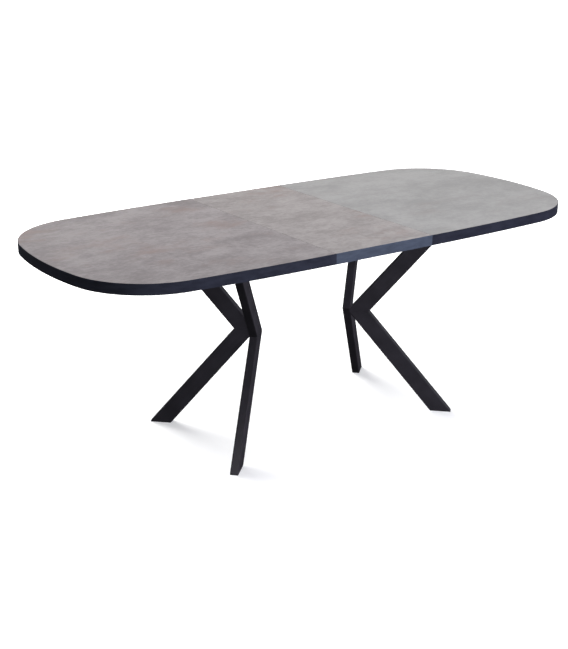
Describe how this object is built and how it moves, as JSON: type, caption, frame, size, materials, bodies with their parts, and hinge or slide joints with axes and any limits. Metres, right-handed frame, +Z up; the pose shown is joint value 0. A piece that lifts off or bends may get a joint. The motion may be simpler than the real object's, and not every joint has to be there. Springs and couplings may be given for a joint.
{
  "type": "extendable dining table",
  "caption": "Extendable dining table with an oval concrete-look top, black edge, inserted leaf and V-shaped steel legs on two pedestals.",
  "frame": {"origin": "on the floor under the middle of the table", "axes": "+X along the table to its right end, -Y to its front long side, +Z up"},
  "size_m": [1.9998, 0.9, 0.76],
  "materials": {
    "top_laminate": "satin concrete-look laminate",
    "edge_band": "satin",
    "leaf_edge_band": "satin",
    "chipboard": "raw board with a dark melamine backing",
    "powder_coat": "fine matt powder coat",
    "runner_aluminium": "mill finish",
    "zinc_steel": "zinc plated",
    "nylon": "moulded",
    "felt": "pressed felt",
    "black_plastic": "moulded"
  },
  "bodies": {
    "frame": {"bridge_screws": "zinc_steel", "centre_bridge": "powder_coat", "crossbar_end_caps": "black_plastic", "crossbar_left": "powder_coat", "crossbar_right": "powder_coat", "foot_glides": "black_plastic", "leaf_rest_pads": "felt", "left_front_lower_leg": "powder_coat", "left_front_plate": "powder_coat", "left_front_upper_arm": "powder_coat", "left_rear_lower_leg": "powder_coat", "left_rear_plate": "powder_coat", "left_rear_upper_arm": "powder_coat", "leg_bolts": "zinc_steel", "pinion_axle": "zinc_steel", "rack_guides": "nylon", "rail_front": "powder_coat", "rail_rear": "powder_coat", "right_front_lower_leg": "powder_coat", "right_front_plate": "powder_coat", "right_front_upper_arm": "powder_coat", "right_rear_lower_leg": "powder_coat", "right_rear_plate": "powder_coat", "right_rear_upper_arm": "powder_coat"},
    "left_half": {"left_panel": "chipboard", "left_laminate": "top_laminate", "left_edge_band": "edge_band", "left_doubler_front": "chipboard", "left_doubler_end": "chipboard", "left_doubler_rear": "chipboard", "left_runner_front": "runner_aluminium", "left_runner_rear": "runner_aluminium", "left_runner_glides": "nylon", "left_rack": "nylon", "left_clasp_plate": "zinc_steel", "left_screws": "zinc_steel"},
    "right_half": {"right_panel": "chipboard", "right_laminate": "top_laminate", "right_edge_band": "edge_band", "right_doubler_front": "chipboard", "right_doubler_end": "chipboard", "right_doubler_rear": "chipboard", "right_runner_front": "runner_aluminium", "right_runner_rear": "runner_aluminium", "right_runner_glides": "nylon", "right_rack": "nylon", "right_clasp_plate": "zinc_steel", "right_screws": "zinc_steel"},
    "leaf": {"leaf_panel": "chipboard", "leaf_laminate": "top_laminate", "leaf_edge_band_front": "leaf_edge_band", "leaf_edge_band_rear": "leaf_edge_band", "leaf_doubler_front": "chipboard", "leaf_doubler_rear": "chipboard", "leaf_locator_blocks": "nylon", "leaf_clasp_studs": "zinc_steel"},
    "pinion": {"pinion": "nylon"},
    "left_clasp": {"left_clasp_lever": "zinc_steel"},
    "right_clasp": {"right_clasp_lever": "zinc_steel"}
  },
  "joints": [
    {"name": "left_slide", "type": "slide", "parent": "frame", "child": "left_half", "axis": [-1, 0, 0], "range_m": [0, 0.05]},
    {"name": "right_slide", "type": "slide", "parent": "frame", "child": "right_half", "axis": [1, 0, 0], "range_m": [0, 0.05]},
    {"name": "pinion_turn", "type": "hinge", "parent": "frame", "child": "pinion", "pos_m": [0, 0, 0.722], "axis": [0, 0, -1], "range_deg": [0, 106.2]},
    {"name": "leaf_lift", "type": "slide", "parent": "frame", "child": "leaf", "axis": [0, 0, 1], "range_m": [0, 0.3]},
    {"name": "left_clasp_turn", "type": "hinge", "parent": "left_half", "child": "left_clasp", "pos_m": [-0.2452, -0.33013, 0.7367], "axis": [0, 0, -1], "range_deg": [0, 90]},
    {"name": "right_clasp_turn", "type": "hinge", "parent": "right_half", "child": "right_clasp", "pos_m": [0.2452, -0.33013, 0.7367], "axis": [0, 0, 1], "range_deg": [0, 90]}
  ],
  "couplings": [
    {"joint": "right_slide", "follows": "left_slide", "ratio": 1},
    {"joint": "pinion_turn", "follows": "left_slide", "rad_per_m": 37.037}
  ]
}
